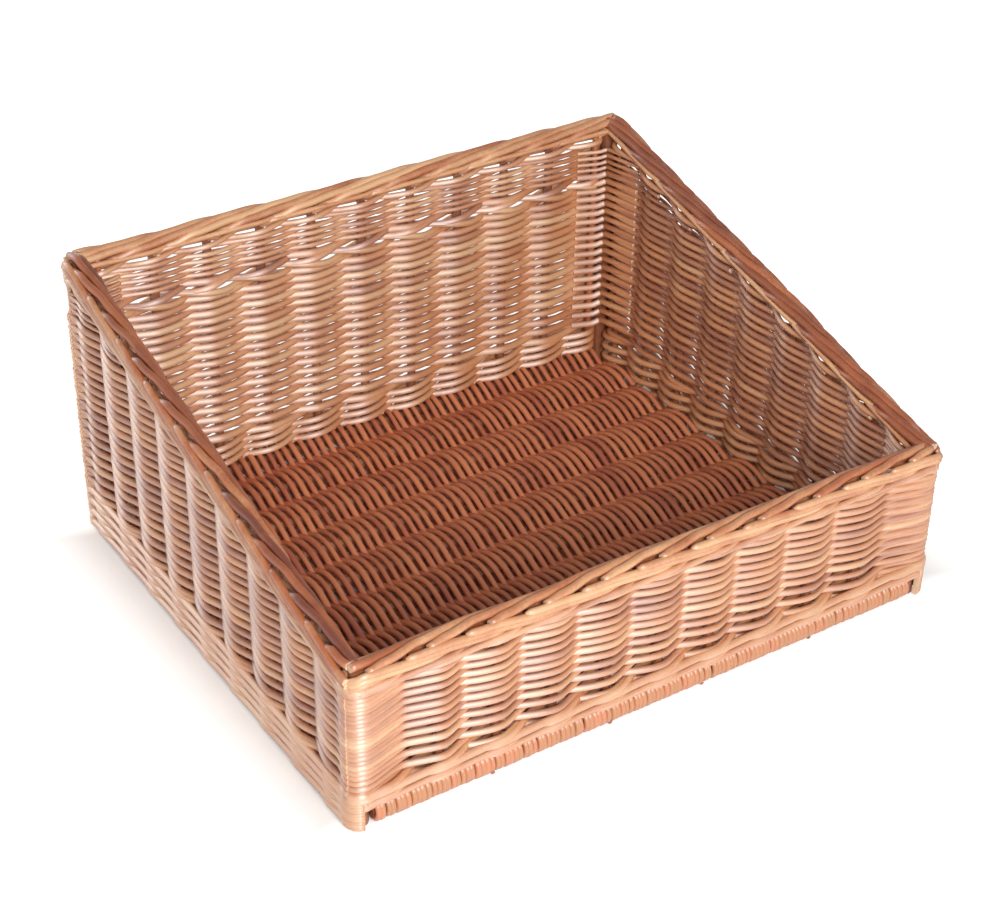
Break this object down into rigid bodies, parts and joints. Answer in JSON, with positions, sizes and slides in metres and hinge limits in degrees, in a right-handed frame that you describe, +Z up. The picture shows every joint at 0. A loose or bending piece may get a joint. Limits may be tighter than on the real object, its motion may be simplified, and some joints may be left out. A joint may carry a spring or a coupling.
{
  "type": "wicker basket",
  "caption": "Open rectangular willow basket with a low front wall, a high back wall, sloping side rims and a rod border.",
  "frame": {"origin": "middle of the footprint, on the surface that the basket stands on", "axes": "+Z up, +Y from the low front wall to the high back wall, +X to the right as seen from the front"},
  "size_m": [0.5026, 0.4276, 0.24],
  "materials": {
    "wall_weave": "buff willow rods, waxy bark, semi-gloss",
    "stakes": "buff willow rods, satin",
    "corner_posts": "thick buff willow, satin",
    "base_sticks": "thick buff willow, satin",
    "base_weave": "thin dark buff willow rods, satin",
    "border": "buff willow rods, waxy, semi-gloss"
  },
  "bodies": {
    "root": {"back_wall_weave": "wall_weave", "back_stake_1": "stakes", "back_stake_2": "stakes", "back_stake_3": "stakes", "back_stake_4": "stakes", "back_stake_5": "stakes", "back_stake_6": "stakes", "back_stake_7": "stakes", "back_stake_8": "stakes", "back_stake_9": "stakes", "back_stake_10": "stakes", "back_stake_11": "stakes", "front_wall_weave": "wall_weave", "front_stake_1": "stakes", "front_stake_2": "stakes", "front_stake_3": "stakes", "front_stake_4": "stakes", "front_stake_5": "stakes", "front_stake_6": "stakes", "front_stake_7": "stakes", "front_stake_8": "stakes", "front_stake_9": "stakes", "front_stake_10": "stakes", "front_stake_11": "stakes", "left_wall_weave": "wall_weave", "left_stake_1": "stakes", "left_stake_2": "stakes", "left_stake_3": "stakes", "left_stake_4": "stakes", "left_stake_5": "stakes", "left_stake_6": "stakes", "left_stake_7": "stakes", "left_stake_8": "stakes", "left_stake_9": "stakes", "right_wall_weave": "wall_weave", "right_stake_1": "stakes", "right_stake_2": "stakes", "right_stake_3": "stakes", "right_stake_4": "stakes", "right_stake_5": "stakes", "right_stake_6": "stakes", "right_stake_7": "stakes", "right_stake_8": "stakes", "right_stake_9": "stakes", "corner_post_back_left": "corner_posts", "corner_post_back_right": "corner_posts", "corner_post_front_left": "corner_posts", "corner_post_front_right": "corner_posts", "base_stick_1": "base_sticks", "base_stick_2": "base_sticks", "base_stick_3": "base_sticks", "base_stick_4": "base_sticks", "base_stick_5": "base_sticks", "base_stick_6": "base_sticks", "base_stick_7": "base_sticks", "base_stick_8": "base_sticks", "base_stick_9": "base_sticks", "base_stick_10": "base_sticks", "base_weave": "base_weave", "border": "border"}
  },
  "joints": []
}
